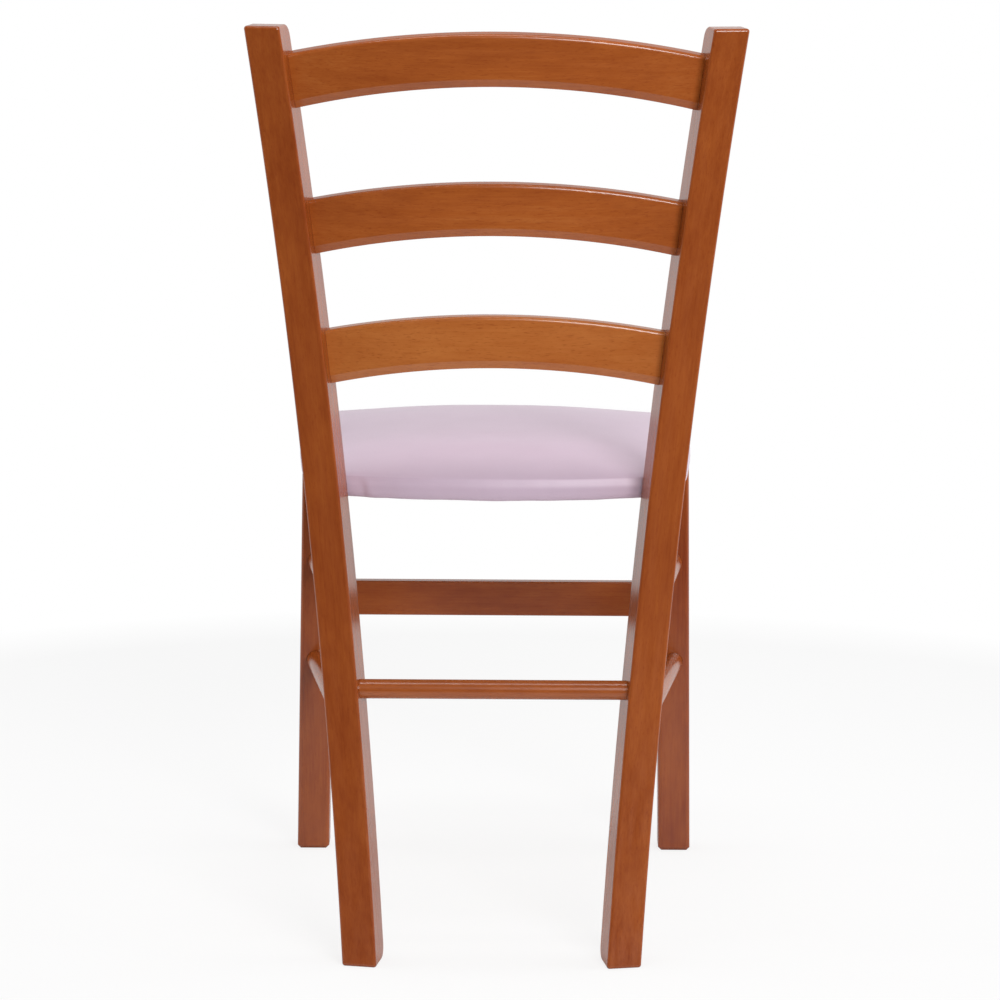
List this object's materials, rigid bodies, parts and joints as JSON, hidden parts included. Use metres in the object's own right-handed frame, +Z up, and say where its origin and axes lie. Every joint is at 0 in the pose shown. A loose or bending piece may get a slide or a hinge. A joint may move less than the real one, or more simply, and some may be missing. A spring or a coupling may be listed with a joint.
{
  "type": "upholstered dining chair",
  "caption": "Ladder-back dining chair of stained beech: bowed splayed rear posts, arched bent slats, dowel stretchers and a crowned lilac padded seat.",
  "frame": {"origin": "on the floor, under the middle of the chair's overall box", "axes": "+Z up, the seat's front edge faces -Y, the back is at +Y, +X is the sitter's left hand"},
  "size_m": [0.4442, 0.444, 0.86],
  "materials": {
    "stained_beech": "satin lacquer over a cherry stain",
    "bare_beech": "sawn, unstained",
    "plywood": "sanded, unstained",
    "foam": "open-cell foam",
    "vinyl": "soft satin coated fabric",
    "steel": "zinc plated"
  },
  "bodies": {
    "root": {"rear_post_left": "stained_beech", "rear_post_right": "stained_beech", "front_leg_left": "stained_beech", "front_leg_right": "stained_beech", "back_slat_top": "stained_beech", "back_slat_middle": "stained_beech", "back_slat_lower": "stained_beech", "seat_front_rail": "stained_beech", "seat_side_rail_left": "stained_beech", "seat_side_rail_right": "stained_beech", "front_stretcher": "stained_beech", "rear_stretcher": "stained_beech", "side_stretcher_upper_left": "stained_beech", "side_stretcher_upper_right": "stained_beech", "side_stretcher_lower_left": "stained_beech", "side_stretcher_lower_right": "stained_beech", "corner_block_left": "bare_beech", "corner_block_right": "bare_beech", "seat_board": "plywood", "seat_foam": "foam", "seat_cover": "vinyl", "seat_screws": "steel"}
  },
  "joints": []
}
